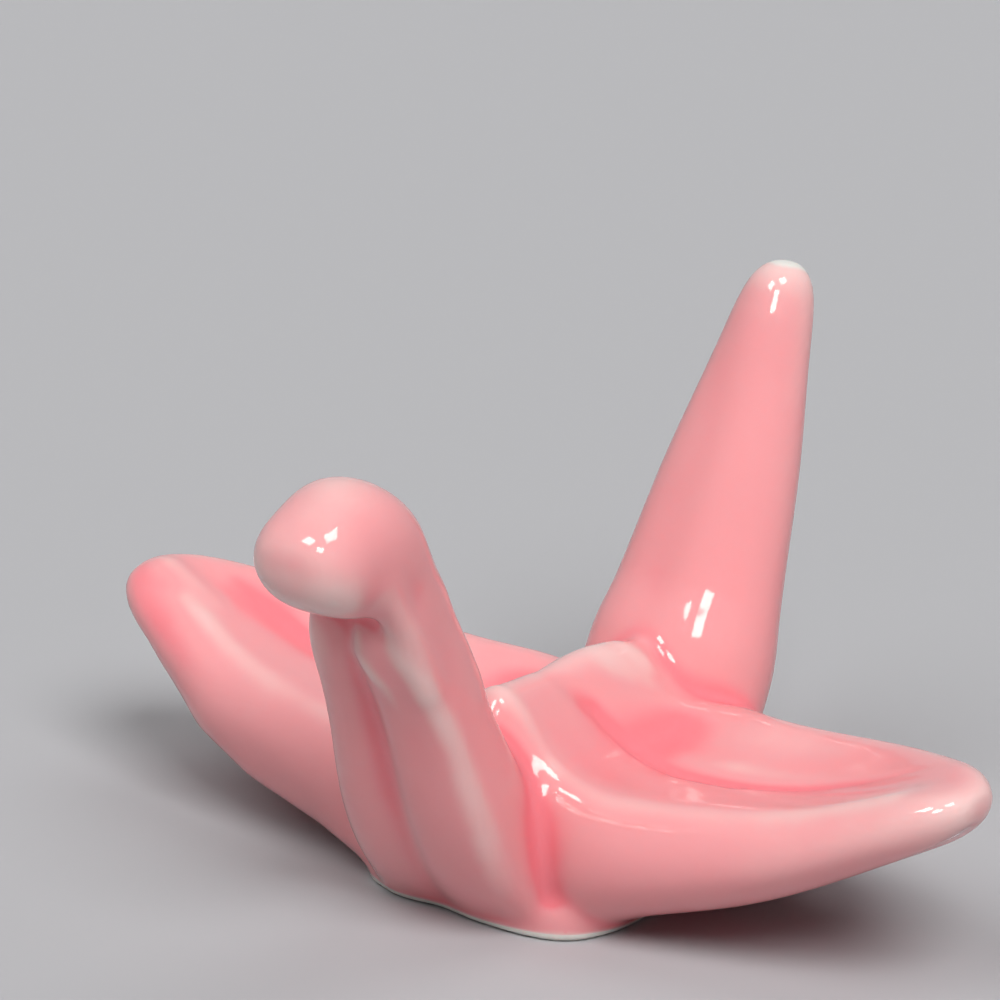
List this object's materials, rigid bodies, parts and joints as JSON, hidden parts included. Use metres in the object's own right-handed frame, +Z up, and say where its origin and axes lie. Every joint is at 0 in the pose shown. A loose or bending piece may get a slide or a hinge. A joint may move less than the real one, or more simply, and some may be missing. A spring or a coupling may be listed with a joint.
{
  "type": "chopstick rest",
  "caption": "Glazed porcelain chopstick rest shaped as a folded paper crane, with a saddle between its neck and tail where chopsticks lie.",
  "frame": {"origin": "middle of the flat foot, on the table", "axes": "+Z up from the table, the crane's head towards -Y, its left wing along +X"},
  "size_m": [0.0584, 0.0489, 0.0311],
  "materials": {
    "porcelain": "bare fired porcelain, matt",
    "pink_glaze": "glossy pink glaze, paler where it is thin"
  },
  "bodies": {
    "root": {"body": "porcelain", "left_wing": "porcelain", "right_wing": "porcelain", "neck_and_head": "porcelain", "tail": "porcelain", "glaze_coat": "pink_glaze"}
  },
  "joints": []
}
